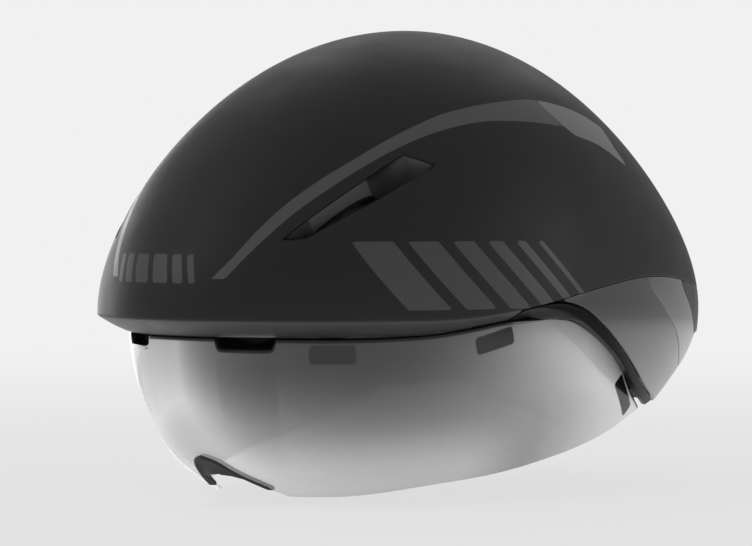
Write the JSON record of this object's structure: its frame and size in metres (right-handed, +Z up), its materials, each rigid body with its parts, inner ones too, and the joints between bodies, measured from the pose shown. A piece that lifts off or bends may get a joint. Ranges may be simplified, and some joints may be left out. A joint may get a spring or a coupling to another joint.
{
  "type": "aero time trial helmet",
  "caption": "Aero time trial helmet: smooth shell with side vents, ear covers, magnet-held visor shield, foam liner, pads, chin strap and a dial fit system.",
  "frame": {"origin": "centre of the head opening, level with the belt crease at the brow", "axes": "+Z up, -Y to the front (the way the wearer looks), +X to the wearer's left"},
  "size_m": [0.204, 0.288, 0.1883],
  "materials": {
    "shell_black": "matte with a soft sheen",
    "bevel_black": "satin",
    "trim_black": "satin",
    "cover_grey": "glossy",
    "duct_black": "fine grain",
    "foam": "expanded foam beads",
    "smoked_lens": "smoked, graded",
    "soft_rubber": "matte",
    "pad_black": "satin",
    "inner_plastic": "moulded",
    "magnet": "nickel plated",
    "pad_fabric": "knitted",
    "webbing": "woven",
    "buckle_plastic": "moulded",
    "belt_plastic": "smooth nylon",
    "dial_plastic": "soft touch",
    "screw_steel": "bright"
  },
  "bodies": {
    "helmet": {"outer_shell": "shell_black", "brow_band": "bevel_black", "tail_shell": "shell_black", "left_ear_panel": "cover_grey", "right_ear_panel": "cover_grey", "left_rear_panel": "cover_grey", "right_rear_panel": "cover_grey", "left_ear_trim": "trim_black", "right_ear_trim": "trim_black", "left_vent_insert": "duct_black", "right_vent_insert": "duct_black", "left_exhaust_grille": "duct_black", "right_exhaust_grille": "duct_black", "left_front_liner": "foam", "right_front_liner": "foam", "left_rear_liner": "foam", "right_rear_liner": "foam", "left_brow_dock": "inner_plastic", "right_brow_dock": "inner_plastic", "left_temple_dock": "inner_plastic", "right_temple_dock": "inner_plastic", "left_ear_dock": "inner_plastic", "right_ear_dock": "inner_plastic", "helmet_magnets": "magnet", "brow_pad": "pad_fabric", "crown_pads": "pad_fabric", "left_side_pad": "pad_fabric", "right_side_pad": "pad_fabric", "left_strap": "webbing", "right_strap": "webbing", "left_strap_slider": "inner_plastic", "right_strap_slider": "inner_plastic", "strap_anchors": "inner_plastic", "buckle_socket": "buckle_plastic", "height_rail": "inner_plastic", "left_temple_guide": "inner_plastic", "right_temple_guide": "inner_plastic"},
    "shield": {"shield_lens": "smoked_lens", "nose_trim": "soft_rubber", "shield_magnets": "magnet", "left_brow_shield_pad": "pad_black", "right_brow_shield_pad": "pad_black", "left_temple_shield_pad": "pad_black", "right_temple_shield_pad": "pad_black", "left_ear_shield_pad": "pad_black", "right_ear_shield_pad": "pad_black"},
    "cradle": {"housing_front": "inner_plastic", "housing_back": "inner_plastic", "cradle_pads": "pad_fabric"},
    "dial": {"drive_pinion": "belt_plastic", "dial_knob": "dial_plastic", "dial_screw": "screw_steel"},
    "belt_left": {"left_headband_belt": "belt_plastic"},
    "belt_right": {"right_headband_belt": "belt_plastic"},
    "plug": {"buckle_plug": "buckle_plastic"}
  },
  "joints": [
    {"name": "shield_pull", "type": "slide", "parent": "helmet", "child": "shield", "axis": [0, -0.9404, -0.3401], "range_m": [0, 0.06]},
    {"name": "cradle_height", "type": "slide", "parent": "helmet", "child": "cradle", "axis": [0, 0, 1], "range_m": [-0.006, 0.006]},
    {"name": "dial_turn", "type": "hinge", "parent": "cradle", "child": "dial", "pos_m": [0, 0.09826, -0.03483], "axis": [0, 0.9135, -0.4067], "range_deg": [-150, 150]},
    {"name": "belt_left_draw", "type": "hinge", "parent": "cradle", "child": "belt_left", "pos_m": [0, 0.027, -0.0031], "axis": [0, 0.4067, 0.9135], "range_deg": [-7.75, 7.75]},
    {"name": "belt_right_draw", "type": "hinge", "parent": "cradle", "child": "belt_right", "pos_m": [0, 0.027, -0.0031], "axis": [0, 0.4067, 0.9135], "range_deg": [-7.62, 7.62]},
    {"name": "buckle_release", "type": "slide", "parent": "helmet", "child": "plug", "axis": [-1, 0, 0], "range_m": [0, 0.015]}
  ],
  "couplings": [
    {"joint": "belt_left_draw", "follows": "dial_turn", "ratio": -0.051007},
    {"joint": "belt_right_draw", "follows": "dial_turn", "ratio": 0.050132}
  ]
}
